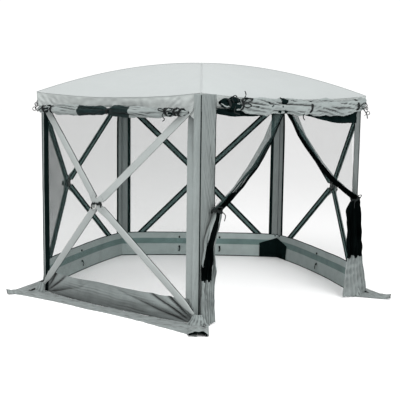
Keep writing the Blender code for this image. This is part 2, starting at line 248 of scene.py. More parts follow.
def hard(name, colour, rough_low, rough_high, metallic=0.0, bump=0.15, coat=0.0):
    """Moulded or drawn material with fine scratches and slightly uneven gloss."""
    n = Nodes(name)
    n.link(
        n.ramp(n.noise(35.0, 5.0), shade(colour, 0.85), shade(colour, 1.15)),
        n.shader.inputs["Base Color"],
    )
    streaks = n.noise(90.0, 3.0, 0.6, n.stretched((1, 1, 0.15)))
    wear = n.ramp(streaks, (rough_low,) * 3, (rough_high,) * 3)
    n.link(wear, n.shader.inputs["Roughness"])
    n.link(n.bump(streaks, bump, 0.001), n.shader.inputs["Normal"])
    n.set("Metallic", metallic)
    n.set("Coat Weight", coat)
    return n.mat


ROOF = cloth("roof_cloth", (0.292, 0.311, 0.310), spread=0.02, crinkle=0.12)
VALANCE = cloth("valance_cloth", (0.295, 0.317, 0.311), spread=0.05, crinkle=0.35)
GREY = cloth("grey_cloth", (0.162, 0.183, 0.180), spread=0.09, crinkle=0.5)
LIGHT = cloth("sleeve_cloth", (0.225, 0.243, 0.239), spread=0.05, crinkle=0.25)
INNER = cloth("kick_cloth", (0.270, 0.315, 0.308), spread=0.08, crinkle=0.35)
STRIPE = cloth("stripe_cloth", (0.105, 0.160, 0.153), spread=0.15, crinkle=0.3)
TRIM = cloth("trim_cloth", (0.0028, 0.0062, 0.0060), spread=0.25, crinkle=0.3, sheen=0.0, gloss=0.0)
# Painted shade: the sleeve cloth as it looks on its shaded inner side.
SLEEVE_SHADE = cloth("sleeve_shade_cloth", (0.108, 0.165, 0.158), spread=0.15, crinkle=0.2, sheen=0.0, gloss=0.1)
WEBBING = cloth(
    "black_webbing", (0.008, 0.010, 0.010), spread=0.3, crinkle=0.3, sheen=0.0, weave=260.0, gloss=0.1
)
NET = netting("netting", 0.215, (0.010, 0.021, 0.020))
DENSE = netting("gathered_netting", 0.62, (0.020, 0.034, 0.033), patchy=0.15)
CURTAIN = netting("curtain_netting", 0.13, patchy=0.06)
BUNCHED = cloth("bunched_netting", (0.0012, 0.0020, 0.0020), spread=0.4, sheen=0.0, gloss=0.0)
WINDOW = cloth(
    "smoked_window", (0.003, 0.010, 0.010), spread=0.35, crinkle=0.6, sheen=0.0, rough_value=0.4,
    gloss=0.08,
)
PLASTIC = hard("black_nylon", (0.015, 0.017, 0.017), 0.35, 0.6)
POLE = hard("pole_fibreglass", (0.02, 0.022, 0.022), 0.2, 0.45, coat=0.3)
STEEL = hard("ring_steel", (0.62, 0.62, 0.60), 0.18, 0.4, metallic=1.0)


# --- building helpers


def paint_fold_shade(data, strength, centre=None, tone_of=None):
    """Painted shade for the cloth's folds, stored per point: hollows are darker and ridges a little
    lighter. tone_of(point) darkens further.
    """
    count = len(data.vertices)
    tones = np.ones(count)
    if strength and len(data.edges):
        at = np.empty(count * 3)
        facing = np.empty(count * 3)
        data.vertices.foreach_get("co", at)
        data.vertices.foreach_get("normal", facing)
        at, facing = at.reshape(-1, 3), facing.reshape(-1, 3)
        ends = np.empty(len(data.edges) * 2, dtype=int)
        data.edges.foreach_get("vertices", ends)
        a, b = ends[0::2], ends[1::2]
        ties = np.bincount(a, minlength=count) + np.bincount(b, minlength=count)
        ties = np.maximum(ties, 1)

        def spread(values):
            total = np.zeros_like(values)
            np.add.at(total, a, values[b])
            np.add.at(total, b, values[a])
            return total / (ties if values.ndim == 1 else ties[:, None])

        middle = at.mean(axis=0) if centre is None else np.array(centre)
        side = 1.0 if ((at - middle) * facing).sum() > 0 else -1.0
        span = np.linalg.norm(at[a] - at[b], axis=1).mean()
        near = ((spread(at) - at) * facing).sum(axis=1) * side / span
        wide = at
        for _ in range(5):
            wide = spread(wide)
        far = ((wide - at) * facing).sum(axis=1) * side / span
        hollow = spread(near) * 1.3 + spread(far) * 0.5
        edge = ties < 3.5
        hollow[edge] = 0
        tones = 1 - np.clip(hollow * strength, -0.12, 0.88)
    if tone_of:
        tones = tones * np.array([tone_of(v.co) for v in data.vertices])
    layer = data.color_attributes.new("folds", "FLOAT_COLOR", "POINT")
    values = np.ones((count, 4))
    values[:, :3] = tones[:, None]
    layer.data.foreach_set("color", values.ravel())


def finish_piece(obj, mats, body, node=None, thick=0.0, folds=0.0, closed=False, tone_of=None):
    """Gives a piece its looks and thickness, the body it rides on and the node it replaces."""
    # folds sets how much painted shade goes into the hollows; tone_of multiplies it.
    paint_fold_shade(obj.data, folds, None if closed else CENTRE + up(0.5), tone_of)
    for m in mats:
        obj.data.materials.append(m)
    bpy.context.scene.collection.objects.link(obj)
    if thick:
        solid = obj.modifiers.new("thickness", "SOLIDIFY")
        solid.thickness = thick
        solid.offset = 0.0
    if body:
        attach(obj, body)
    if node:
        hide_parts(*([node] if isinstance(node, str) else node))
    return obj


def finish_fitting(obj, mat, body="shelter"):
    """Finishes a strap, ring or cord."""
    finish_piece(obj, [mat], body)


def mesh_object(name, verts, faces, picks):
    """A smooth-shaded mesh, with a material's index for each face."""
    data = bpy.data.meshes.new(name)
    data.from_pydata(verts, [], faces)
    data.polygons.foreach_set("use_smooth", [True] * len(faces))
    data.polygons.foreach_set("material_index", picks)
    data.update()
    return bpy.data.objects.new(name, data)


def surface(name, point, across, along, mat_of=None, closed=False):
    """A mesh through point(u, v) for u and v from 0 to 1. mat_of(u, v) picks the face's material."""
    cols = across if closed else across + 1
    verts, faces, picks = [], [], []
    for j in range(along + 1):
        for i in range(cols):
            verts.append(point(i / across, j / along))
    for j in range(along):
        for i in range(across):
            a, b = j * cols + i, j * cols + (i + 1) % cols
            faces.append((a, b, b + cols, a + cols))
            picks.append(mat_of((i + 0.5) / across, (j + 0.5) / along) if mat_of else 0)
    return mesh_object(name, verts, faces, picks)


def tube(name, points, radius, flat=1.0, sides=8, side=None, closed=False):
    """A round or flattened tube through points. side is the direction of its wide way."""
    verts, faces = [], []
    count = len(points)
    for k, p in enumerate(points):
        if closed:
            ahead = points[(k + 1) % count] - points[k - 1]
        else:
            ahead = points[min(k + 1, count - 1)] - points[max(k - 1, 0)]
        ahead = ahead.normalized()
        wide = Vector(side) if side is not None else Vector((0.31, 0.17, 0.93))
        wide = (wide - ahead * wide.dot(ahead)).normalized()
        deep = ahead.cross(wide)
        size = radius(k / max(1, count - 1)) if callable(radius) else radius
        for i in range(sides):
            a = 2 * pi * i / sides
            verts.append(p + wide * (size * cos(a)) + deep * (size * flat * sin(a)))
    rings = count if closed else count - 1
    for k in range(rings):
        for i in range(sides):
            n = (i + 1) % sides
            a, b = k * sides, ((k + 1) % count) * sides
            faces.append((a + i, a + n, b + n, b + i))
    if not closed:
        faces.append(tuple(range(sides))[::-1])
        faces.append(tuple(range((count - 1) * sides, count * sides)))
    return mesh_object(name, verts, faces, [0] * len(faces))


def joined(name, objs):
    """One object from several meshes that are already in world coordinates."""
    bm = bmesh.new()
    for o in objs:
        bm.from_mesh(o.data)
        bpy.data.objects.remove(o, do_unlink=True)
    data = bpy.data.meshes.new(name)
    bm.to_mesh(data)
    bm.free()
    return bpy.data.objects.new(name, data)


def ring_points(centre, radius, normal, count=24):
    """Points round a circle."""
    n = Vector(normal).normalized()
    a = n.orthogonal().normalized()
    b = n.cross(a)
    return [
        centre + a * (radius * cos(2 * pi * k / count)) + b * (radius * sin(2 * pi * k / count))
        for k in range(count)
    ]


def smooth_path(points, per=8):
    """Points on a smooth curve through points."""
    found = []
    pts = [points[0], *points, points[-1]]
    for k in range(1, len(pts) - 2):
        p0, p1, p2, p3 = (Vector(p) for p in pts[k - 1 : k + 3])
        for m in range(per):
            t = m / per
            found.append(
                0.5 * ((2 * p1) + (p2 - p0) * t + (2 * p0 - 5 * p1 + 4 * p2 - p3) * t * t
                + (3 * p1 - p0 - 3 * p2 + p3) * t**3)
            )
    found.append(Vector(points[-1]))
    return found


# --- roof


def ridge_z(radius):
    """Height of the roof's ridges."""
    return EAVE + (PEAK - EAVE) * (1 - (radius / RIM) ** 1.9)


def gore_point(angle, u, s):
    """u runs from -1 to 1 between a gore's ridges, s from 0 at the peak to 1 at the rim."""
    corner = RIM * s
    edge = corner * sin(HALF) * u
    depth = corner * cos(HALF)
    z = ridge_z(corner)
    between = 1 - u * u
    z -= 0.016 * between * sin(pi * min(1.0, s)) + 0.040 * between * s**6
    depth -= 0.016 * between * s**4
    z += 0.004 * rough(u * 2.2 + angle, s * 5.0) * between * s
    z += 0.003 * rough(u * 9 + angle, s * 3.0, 4.0) * between * s**8
    return CENTRE + polar(angle, depth) + polar(angle + 90, edge) + up(z - 0.001)


def roof():
    """Five gores and the seams between them."""
    for name, angle in {**WALLS, "door": DOOR}.items():

        def point(i, j):
            return gore_point(angle, 2 * i - 1, max(0.002, j))

        o = surface(f"roof_gore_{name}", point, 28, 40)
        finish_piece(o, [ROOF], None, "roof_canopy")
        start = CENTRE + polar(angle, RIM * cos(HALF)) + up(EAVE)
        end = CENTRE + polar(angle, -0.12 * RIM * cos(HALF)) + up(EAVE)
        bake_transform(o)

    for corner, angle in CORNERS.items():
        points = []
        for k in range(41):
            radius = RIM * max(0.004, k / 40)
            points.append(CENTRE + polar(angle, radius, ridge_z(radius) + 0.0005))
        o = tube(f"roof_seam_{corner}", points, 0.0035, flat=0.5, sides=6, side=polar(angle + 90, 1))
        finish_piece(o, [ROOF], None)
        start = CENTRE + polar(angle, RIM) + up(EAVE)
        end = CENTRE + polar(angle, -0.12 * RIM) + up(EAVE)
        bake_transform(o)


def rim_point(angle, u, drop, out=0.0):
    """A point drop below the roof's rim, u from -1 to 1 along a wall."""
    p = gore_point(angle, u, 1.0)
    return p + polar(angle, out) + up(-drop)


def valance_drop(angle, u, j):
    """How far below the roof's rim the valance hangs at j of its height."""
    near_front = angle == WALLS["front_left"] and u > 0
    gusset = (0.085 if near_front else 0.0) * step(0.78, 0.97, abs(u))
    return (0.118 - 0.040 * (1 - u * u) + gusset) * j


def valances():
    """The band that hangs from the roof's rim."""
    for name, angle in {**WALLS, "door": DOOR}.items():

        def point(i, j):
            u = 2 * i - 1
            ends = step(0.45, 1.0, abs(u))
            wave = 0.005 * rough(u * 6 + angle, j * 1.5) + 0.003 * rough(u * 17 + angle, j * 2.0)
            wave += 0.006 * ends * rough(u * 26 + j * 4 * (1 if u > 0 else -1), j * 2.0, angle)
            out = -0.003 - 0.006 * j * (1 - u * u) + wave * step(0, 0.3, j) * (1 - u**16)
            drop = valance_drop(angle, u, j) + 0.004 * j * rough(u * 5 + angle, 3.0)
            return rim_point(angle, u * (1 - 0.004 * j), drop, out)

        o = surface(f"valance_{name}", point, 150, 16)
        finish_piece(o, [VALANCE], "shelter", "roof_valance", thick=0.0012, folds=1.6)


# --- walls


def fan(x, z, corner_x, lines, reach):
    """Folds that fan out from a point at the wall's foot."""
    dx, dz = abs(x - corner_x) + 0.03, z + 0.012
    turn = atan2(dz, dx)
    away = hypot(dx, dz)
    bend = 0.6 * rough(x * 4, z * 9, corner_x)
    return (abs(sin(turn * lines + bend)) - 0.5) * step(reach, 0.05, away) * min(1.0, away / 0.12)


def walls():
    """Netting and kick panels, bowed out by their wall's hub."""
    half = HALF_WALL - WING + 0.018
    for name, angle in WALLS.items():
        kick = KICK[name]
        seed = angle * 0.37

        def net_point(i, j):
            x = half * (2 * i - 1)
            z = kick + (NET_TOP - kick) * j
            out = cloth_out(x, z)
            u = x / half
            calm = (1 - u * u) * 4 * j * (1 - j)
            out -= 0.010 * calm
            out += 0.004 * rough(x * 3 + seed, z * 3) * calm
            return on_wall(angle, x, out, z)

        def net_look(i, j):
            x = half * (2 * i - 1)
            z = kick + (NET_TOP - kick) * j
            from_corner = HALF_WALL - abs(x)
            if name == "front_left" and x > 0:
                return 3 if from_corner < 0.104 else 0
            if name == "front_left" and from_corner < STRIP:
                return 2 if from_corner < 0.086 else 1
            if from_corner < STRIP:
                return 3 if from_corner < 0.060 else 2
            if name != "left":
                return 0
            return 1 if x / HALF_WALL > from_hub(z) + 0.04 and x > 0.16 else 0

        net = surface(f"netting_{name}", net_point, 100, 44, net_look)
        finish_piece(net, [NET, DENSE, TRIM, GREY], None, f"mesh_panel_{name}")

        low = -HALF_WALL if name in ("left", "back") else -half
        high = HALF_WALL if name in ("right", "back") else half

        def kick_point(i, j):
            x = low + (high - low) * i
            z = 0.003 + (kick - 0.003) * j
            out = cloth_out(x, z)
            edge = 1 - abs(2 * i - 1) ** 6
            crease = rough(x * 5 + seed, z * 9) + 0.5 * rough(x * 13 + seed, z * 16)
            if name == "front_left":
                out += 0.003 * crease * edge
                line = (z + 0.035 * x) / 0.023 + 0.9 * rough(x * 1.3, z * 6, 5.0)
                line += 0.25 * rough(x * 7, z * 9)
                strength = max(0.0, 0.35 + 0.9 * rough(x * 2.2 + 4, z * 26, 2.0))
                out += 0.0034 * (abs(sin(pi * line)) - 0.5) * strength * step(0.185, 0.13, z) * edge
                out += (0.019 * fan(x, z, -half, 11, 0.8) + 0.024 * fan(x, z, half, 13, 1.2)) * edge
                out += 0.018 * (1 - j) ** 2 * edge
                z += 0.006 * rough(x * 3.3, 8.0) * j
            else:
                out += 0.005 * crease * edge
            return on_wall(angle, x, max(out, -0.01), z)

        def kick_look(i, j):
            z = kick * j
            if name == "front_left":
                return 0
            if 0.128 < z < 0.188:
                return 1
            return 2 if z > kick - 0.009 or z < 0.009 else 0

        mats = [GREY if name == "front_left" else INNER, STRIPE, TRIM]
        rows = 66 if name == "front_left" else 30
        panel = surface(f"kick_cloth_{name}", kick_point, 130, rows, kick_look)
        # Strength of the painted shade in the kick panels' folds; the front left one gets the most.
        kick_fold_shade = 4.0 if name == "front_left" else 1.2

        def shadow(p):
            if name != "front_left":
                return {"left": 0.84, "right": 0.80}.get(name, 1.0)
            streak = 0.5 + 0.5 * rough(p.x * 3 + p.y * 2, p.z * 60, 7.0)
            height = p.z + 0.02 * rough(p.x * 3, p.y * 3)
            return 0.92 - (0.30 + 0.35 * streak) * step(0.14, 0.035, height)

        finish_piece(panel, mats, None, f"kick_panel_{name}", folds=kick_fold_shade, tone_of=shadow)

        start = on_wall(angle, 0, -0.12 * 0.184, HUB_Z)
        end = on_wall(angle, 0, 1.03 * 0.184, HUB_Z)
        for o in (net, panel):
            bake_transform(o)


def strips():
    """The cloth that wraps each corner: a wing on each side and a seam on the corner itself."""
    for name, angle in CORNERS.items():
        rear = name.startswith("back")
        foot = 0.232 if rear else 0.004
        for way, tag in ((-1, "a"), (1, "b")):
            wall = angle + way * TURN
            seed = angle * 0.21 + way
            by_door = (wall - DOOR) % 360 == 0
            width = {"front": 0.135, "right": 0.055}[name] if by_door else WING
            crush = {"front": 0.010, "right": 0.005}[name] if by_door else 0.003

            def point(i, j):
                s = (width + 0.004) * i
                z = foot + (1.738 - foot) * j
                flare = step(1.18, 1.56, z) if name == "front" else 0.0
                out = 0.002 + 0.038 * flare
                if not by_door:
                    out += cloth_out(HALF_WALL - s, z) * step(0.0, 1.0, i) * (1 - flare)
                loose = step(0, 0.35, i)
                out += crush * rough(i * 2.2 + seed, z * 1.8) * loose
                out -= 0.9 * crush * abs(rough(s * 34 + z * 7 + seed, z * 1.7, 4.0)) * loose
                out -= 0.5 * crush * abs(rough(s * 70 - z * 9 + seed, z * 5.0, 9.0)) * loose
                x = -way * (HALF_WALL + out * tan(HALF) - s)
                x += way * crush * 0.8 * rough(z * 4 + seed, 2.0) * i
                return on_wall(wall, x, out, z)

            def look(i, j):
                if rear and j < 0.012:
                    return 1
                if j > 0.925:
                    return 0
                if name == "left" and not by_door and way > 0:
                    return 0 if i < 0.27 else 1
                if i < 0.045:
                    return 1
                if by_door:
                    return 1 if i > 0.955 else 0
                return 0

            o = surface(f"strip_{name}_{tag}", point, 44, 150, look)
            # Painted shade: the wings on the door's side are darker as a whole.
            door_side_shade = {"front": 0.71, "right": 0.55}[name] if by_door else 1.0
            finish_piece(
                o, [GREY, TRIM], "shelter", f"corner_strip_{name}", thick=0.0012,
                folds=1.8, tone_of=lambda p: door_side_shade,
            )
        points = []
        for k in range(60):
            z = foot + 0.016 + (1.715 - foot) * k / 59
            out = 0.004 + (0.047 * step(1.18, 1.56, z) if name == "front" else 0.0)
            points.append(on_corner(angle, out + 0.001 * rough(z * 8, angle), 0, z))
        o = tube(f"corner_seam_{name}", points, 0.0035, sides=8)
        finish_piece(o, [TRIM], "shelter")


# --- poles, sleeves and hubs


def pole_line(wall, level, side):
    """The pivot and the tip of a wall pole."""
    x = side * (HALF_WALL + BRACKET_OUT * sin(HALF))
    bracket = Vector((x, BRACKET_OUT * cos(HALF), TOP_Z if level == "upper" else FOOT_Z))
    hub = Vector((0, HUB_OUT, HUB_Z))
    flat = Vector((hub.x - bracket.x, 0, hub.z - bracket.z)).normalized()
    a, b = bracket + flat * 0.032, hub - flat * 0.047
    angle = WALLS[wall]
    return on_wall(angle, a.x, a.y, a.z), on_wall(angle, b.x, b.y, b.z)


def sleeves():
    """A flat cloth sleeve over each wall pole."""
    for wall, angle in WALLS.items():
        outward = polar(angle, 1)
        for level in ("upper", "lower"):
            for side, tag in ((-1, "left"), (1, "right")):
                pivot, tip = pole_line(wall, level, side)
                along = tip - pivot
                across = along.normalized().cross(outward).normalized()
                length = along.length
                body = f"pole_{wall}_{level}_{tag}"
                seed = angle + side * 3 + (5 if level == "upper" else 0)

                def sleeve_point(i, j):
                    a = 2 * pi * i
                    d = 0.030 + (length - 0.036) * j
                    wide = 0.0300 + 0.0018 * rough(d * 9 + seed, 1.0)
                    wide *= 0.42 + 0.58 * step(0.02, 0.16, d)
                    deep = 0.0078 + 0.0010 * rough(d * 14 + seed, a)
                    p = pivot + along.normalized() * d
                    ripple = 0.0012 * rough(d * 22 + seed, sin(a) * 2, cos(a) * 2)
                    power = abs(cos(a)) ** 0.7 * (1 if cos(a) > 0 else -1)
                    return p + across * ((wide + ripple) * power) + outward * (deep * sin(a) + ripple)

                # The side facing the inside takes the darker second cloth, as painted shade.
                def sleeve_look(i, j):
                    return 1 if sin(2 * pi * i) < -0.35 else 0

                name = f"sleeve_{wall}_{level}_{tag}"
                o = surface(name, sleeve_point, 20, 70, sleeve_look, closed=True)
                finish_piece(o, [LIGHT, SLEEVE_SHADE], body, folds=0.6, closed=True)
                sleeve_shade_strip(wall, level, tag, pivot, tip, across, outward, body, seed)


def sleeve_shade_strip(wall, level, tag, pivot, tip, across, outward, body, seed):
    """A dark strip on the netting behind a sleeve: painted shade of the sleeve's inner side, with
    near-black edges.
    """
    along = (tip - pivot).normalized()
    length = (tip - pivot).length

    def point(i, j):
        d = 0.06 + (length - 0.07) * j
        w = (0.0265 if wall == "front_left" else 0.032) * (2 * i - 1)
        w *= 0.42 + 0.58 * step(0.03, 0.16, d)
        sink = 0.0135 + 0.0006 * rough(d * 20 + seed, i * 3)
        return pivot + along * d + across * w - outward * sink

    def look(i, j):
        return 1 if 0.25 < i < 0.75 else 0

    o = surface(f"tape_{wall}_{level}_{tag}", point, 10, 40, look)
    finish_piece(o, [TRIM, SLEEVE_SHADE], body)


def hub_dressing():
    """The crossed patches, the pull strap and the tab on each wall hub."""
    for wall, angle in WALLS.items():
        body = f"wall_hub_{wall}"
        outward = polar(angle, 1)
        side = polar(angle + 90, 1)
        c = on_wall(angle, 0, HUB_OUT, HUB_Z)
        for k, slope in enumerate((1, -1)):

            def patch(i, j):
                t, w = 2 * i - 1, 2 * j - 1
                x = 0.090 * t
                z = slope * 0.0877 * t
                out = 0.0185 - 0.36 * max(0.0, hypot(x, z) - 0.045) - 0.001 * w * w + 0.001 * k
                out += 0.0006 * rough(x * 60, z * 60, w)
                wide = 0.0295 * w
                return c + side * (x - slope * wide * 0.67) + up(z + wide * 0.74) + outward * out

            o = surface(f"hub_patch_{wall}_{k}", patch, 24, 10)
            finish_piece(o, [LIGHT], body, thick=0.0012)

        face = c + outward * 0.024
        strap = smooth_path(
            [face + side * 0.005 + up(0.004), face + outward * 0.008 + side * 0.03,
             face + outward * 0.008 + side * 0.052 + up(0.014),
             face + side * 0.060 + up(-0.012) + outward * 0.004,
             face + side * 0.046 + up(-0.018)]
        )
        o = tube(f"hub_strap_{wall}", strap, 0.010, flat=0.16, sides=8, side=(0, 0, 1))
        finish_fitting(o, WEBBING, body)
        loop = smooth_path(
            [face + up(0.008) - side * 0.004, face + outward * 0.006 - side * 0.016,
             face - side * 0.030 + up(0.002) + outward * 0.008,
             face - side * 0.046 + up(-0.022) + outward * 0.004,
             face - side * 0.040 + up(-0.044) - outward * 0.002]
        )
        o = tube(f"hub_tab_{wall}", loop, 0.008, flat=0.3, sides=8, side=(0, 0, 1))
        finish_fitting(o, WEBBING, body)


# --- ground skirt


def skirt():
    """The cloth that lies on the ground outside the closed walls, and what is at its corners."""
    for name, angle in WALLS.items():
        seed = angle * 0.13

        def point(i, j):
            u = 2 * i - 1
            bow = 0.06 * (1 - u * u)
            inner = 0.012 + bow * 0.9 + (0.014 if name == "front_left" else 0.0) * (1 - u**4)
            outer = 0.215 + 0.055 * abs(u) ** 3 + 0.012 * rough(u * 4 + seed, 0.5)
            outer += 0.007 * rough(u * 17 + seed, 3.0)
            depth = inner + (outer - inner) * j
            x = u * (HALF_WALL + depth * tan(HALF) - 0.012)
            lift = 0.010 * max(0.0, rough(x * 4 + seed, depth * 14)) + 0.007 * max(
                0.0, rough(x * 13 + seed, depth * 30)
            )
            lift += 0.006 * abs(rough(x * 22 + depth * 30 + seed, depth * 20))
            edge = step(0, 0.15, 1 - j)
            return on_wall(angle, x, depth, 0.0012 + lift * (0.25 + 0.75 * edge))

        o = surface(f"skirt_{name}", point, 150, 26)
        finish_piece(o, [GREY], "shelter", "ground_skirt", thick=0.0012, folds=3.0)

    for name, angle in CORNERS.items():
        seed = angle * 0.4
        tongue(name, angle, seed)
        boot(name, angle, seed)
        where = on_corner(angle, 0.13, 0.040, 0.020)
        o = tube(f"stake_ring_{name}", ring_points(where, 0.014, (0.2, 0.1, 1)), 0.0024, closed=True)
        finish_fitting(o, PLASTIC)
        loop = [
            on_corner(angle, 0.085, 0.036, 0.030), on_corner(angle, 0.100, 0.038, 0.026),
            on_corner(angle, 0.120, 0.040, 0.020),
        ]
        o = tube(f"stake_strap_{name}", smooth_path(loop), 0.008, flat=0.15, side=(0, 0, 1))
        finish_fitting(o, WEBBING)


def tongue(name, angle, seed):
    """The tongue that takes a stake at a corner. The front one ends in an open pocket."""
    pocket = 0.026 if name == "front" else (0.012 if name == "right" else 0.0)

    def point(i, j):
        w = 0.078 * (2 * i - 1)
        start = 0.012 - abs(w) * tan(HALF) * 0.9
        out = start + (0.326 - start) * j
        lift = 0.012 * max(0.0, rough(out * 9 + seed, w * 14))
        lift += 0.010 * sin(pi * j) * (1 - (2 * i - 1) ** 2) + 0.005 * rough(out * 22 + seed, w * 30)
        lift += 0.006 * abs(rough(out * 30 + w * 20 + seed, w * 16))
        lift += pocket * step(0.30, 0.75, j) * (1 - abs(2 * i - 1) ** 3)
        return on_corner(angle, out, w, 0.0042 + max(0.0, lift) + 0.006 * step(0.86, 1, j))

    def look(i, j):
        return 1 if j > (0.975 if name == "front" else 0.985) else 0

    o = surface(f"tongue_{name}", point, 36, 70, look)
    finish_piece(o, [GREY, TRIM], "shelter", thick=0.0014, folds=2.0)
    if name == "front":

        def under(i, j):
            w = 0.070 * (2 * i - 1)
            out = 0.15 + 0.165 * j
            return on_corner(angle, out, w, 0.003 + 0.022 * step(0, 0.6, j) * (1 - abs(2 * i - 1) ** 3))

        # A near-black sheet under the raised pocket: painted shade inside its opening.
        o = surface("tongue_pocket_shade", under, 16, 16)
        finish_piece(o, [TRIM], "shelter", thick=0.0010)


def boot(name, angle, seed):
    """Cloth gathered over the foot of a corner, where the poles' brackets sit."""

    def point(i, j):
        turn = angle + (i - 0.5) * 175
        wide = (0.088 - 0.050 * j**0.6) * (1 + 0.10 * rough(i * 7 + seed, j * 3))
        crease = 0.004 * sin(i * 38 + 3 * rough(j * 2, seed)) * (1 - 0.4 * j)
        base = on_corner(angle, 0.004, 0, 0.003 + 0.082 * j)
        return base + polar(turn, wide + crease)

    o = surface(f"boot_{name}", point, 60, 16)
    finish_piece(o, [GREY], "shelter", thick=0.0012, folds=2.0)


# --- rolled panels


def crumpled_roll(name, angle, ends, out, height, size, waists, mats, look, amp, node):
    """A rolled cloth along a wall. size(x) is its radius, waists the x where straps pinch it."""
    low, high = ends

    def point(i, j):
        a = 2 * pi * i
        x = low + (high - low) * j
        r = size(x)
        for w, pinch in waists:
            r *= 1 - pinch * (1 - step(0.0, 0.07, abs(x - w)))
        fold = rough(cos(a) * 1.3, sin(a) * 1.3, x * 3.2 + angle)
        fine = rough(cos(a) * 3.2 + 7, sin(a) * 3.2, x * 11 + a)
        crease = abs(rough(cos(a + x * 3) * 1.7, sin(a + x * 3) * 1.7, x * 3.4 + 3))
        second = abs(rough(cos(a - x * 6) * 3.0 + 5, sin(a - x * 6) * 3.0, x * 8))
        r *= 1 + 1.2 * amp * fold + amp * 0.4 * fine - amp * 1.6 * crease - amp * 0.5 * second
        r *= 0.30 + 0.70 * step(0, 0.03, j) * step(0, 0.03, 1 - j)
        c, s = cos(a), sin(a)
        return on_wall(angle, x, out(x) + r * c * 0.92, height(x) + r * s)

    # Random darker streaks, and painted shade on the roll's underside below 1.60 m.
    def darker_low_tone(p):
        streak = max(0.0, rough(p.x * 6 + angle, p.y * 6, p.z * 26))
        return 1 - 0.45 * streak - 0.25 * step(0.0, 0.06, 1.60 - p.z)

    o = surface(name, point, 56, 330, look, closed=True)
    finish_piece(o, mats, "shelter", node, folds=2.9, closed=True, tone_of=darker_low_tone)
    return o


def loop_round(name, angle, x, out, height, radius, tilt):
    """A flat strap round a roll at x."""
    points = []
    for k in range(28):
        a = 2 * pi * k / 28
        r = radius * (1 + 0.05 * rough(cos(a) * 2 + x * 7, sin(a) * 2))
        points.append(on_wall(angle, x + tilt * sin(a), out + r * cos(a), height + r * sin(a)))
    o = tube(name, points, 0.011, flat=0.12, side=polar(angle + 90, 1), closed=True)
    finish_fitting(o, WEBBING)


def ties(name, angle, paths, radius):
    """Loose tie cords, each one a tube from where it leaves its strap."""
    for k, path in enumerate(paths):
        points = smooth_path([on_wall(angle, *p) for p in path])
        o = tube(f"{name}_{k}", points, radius, sides=8)
        finish_fitting(o, WEBBING)
        length = sum((q - p).length for p, q in zip(points, points[1:]))
        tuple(points[0])


def corner_patch():
    """A dark reinforcement inside the back right corner, over the ends of the two kick panels."""
    angle = CORNERS["back_right"]

    def point(i, j):
        s = 0.19 * (2 * i - 1)
        wall = angle + (TURN if s > 0 else -TURN)
        z = 0.006 + (0.215 - 0.35 * abs(s)) * j
        x = -(HALF_WALL - abs(s)) if s > 0 else HALF_WALL - abs(s)
        out = cloth_out(x, z) - 0.007 + 0.003 * rough(s * 30, z * 25)
        return on_wall(wall, x, out, z)

    o = surface("corner_patch", point, 40, 12)
    finish_piece(o, [TRIM], "shelter", folds=1.0)


def wind_panel():
    """The wind panel, rolled up under the eave, with its see-through part at the middle."""
    angle = WALLS["front_left"]
    mats = [GREY, WINDOW, TRIM]

    def size(x):
        return 0.043 + 0.004 * rough(x * 3, 5.0)

    def out(x):
        return 0.092

    def height(x):
        return 1.604 - 0.006 * (1 - (x / 0.84) ** 2) + 0.004 * rough(x * 4, 1.0)

    def look(i, j):
        x = -0.80 + 1.60 * j
        if -0.31 < x + 0.02 * rough(i * 6, 2.0) < 0.24:
            return 1
        knot = min(abs(x + 0.68), abs(x - 0.66), abs(x - 0.74))
        return 2 if knot < 0.035 and rough(i * 9, x * 14) > 0.05 else 0

    waists = [(-0.72, 0.30), (-0.62, 0.35), (0.01, 0.50), (0.60, 0.30), (0.68, 0.45), (0.75, 0.35)]
    crumpled_roll(
        "wind_roll", angle, (-0.80, 0.80), out, height, size, waists, mats, look, 0.26,
        "wind_panel_roll",
    )
    straps = (
        (-0.71, 0.032), (-0.62, 0.031), (0.01, 0.024), (0.60, 0.032), (0.68, 0.028), (0.73, 0.030)
    )
    for k, (x, r) in enumerate(straps):
        loop_round(f"wind_strap_{k}", angle, x, 0.092, height(x), r, tilt=0.014 * (k % 3 - 1))
    bows = [
        [(0.61, 0.128, 1.612), (0.57, 0.140, 1.630), (0.55, 0.138, 1.617), (0.60, 0.134, 1.605)],
        [(0.61, 0.128, 1.615), (0.65, 0.140, 1.634), (0.68, 0.138, 1.620), (0.62, 0.134, 1.604)],
        [(0.60, 0.130, 1.600), (0.59, 0.138, 1.575), (0.61, 0.136, 1.550), (0.59, 0.134, 1.535)],
        [(0.68, 0.128, 1.612), (0.72, 0.138, 1.596), (0.76, 0.136, 1.575)],
        [(0.69, 0.128, 1.618), (0.73, 0.140, 1.636), (0.76, 0.136, 1.618), (0.70, 0.132, 1.600)],
        [(0.72, 0.130, 1.610), (0.69, 0.138, 1.590), (0.67, 0.136, 1.570)],
        [(0.01, 0.120, 1.610), (-0.04, 0.132, 1.602), (-0.08, 0.134, 1.588)],
        [(0.01, 0.120, 1.606), (0.05, 0.134, 1.614), (0.09, 0.136, 1.606)],
        [(-0.72, 0.124, 1.615), (-0.76, 0.132, 1.590), (-0.79, 0.130, 1.612), (-0.76, 0.124, 1.632)],
        [(-0.62, 0.124, 1.612), (-0.66, 0.134, 1.586), (-0.70, 0.132, 1.596)],
    ]
    ties("wind_tie", angle, bows, 0.0036)


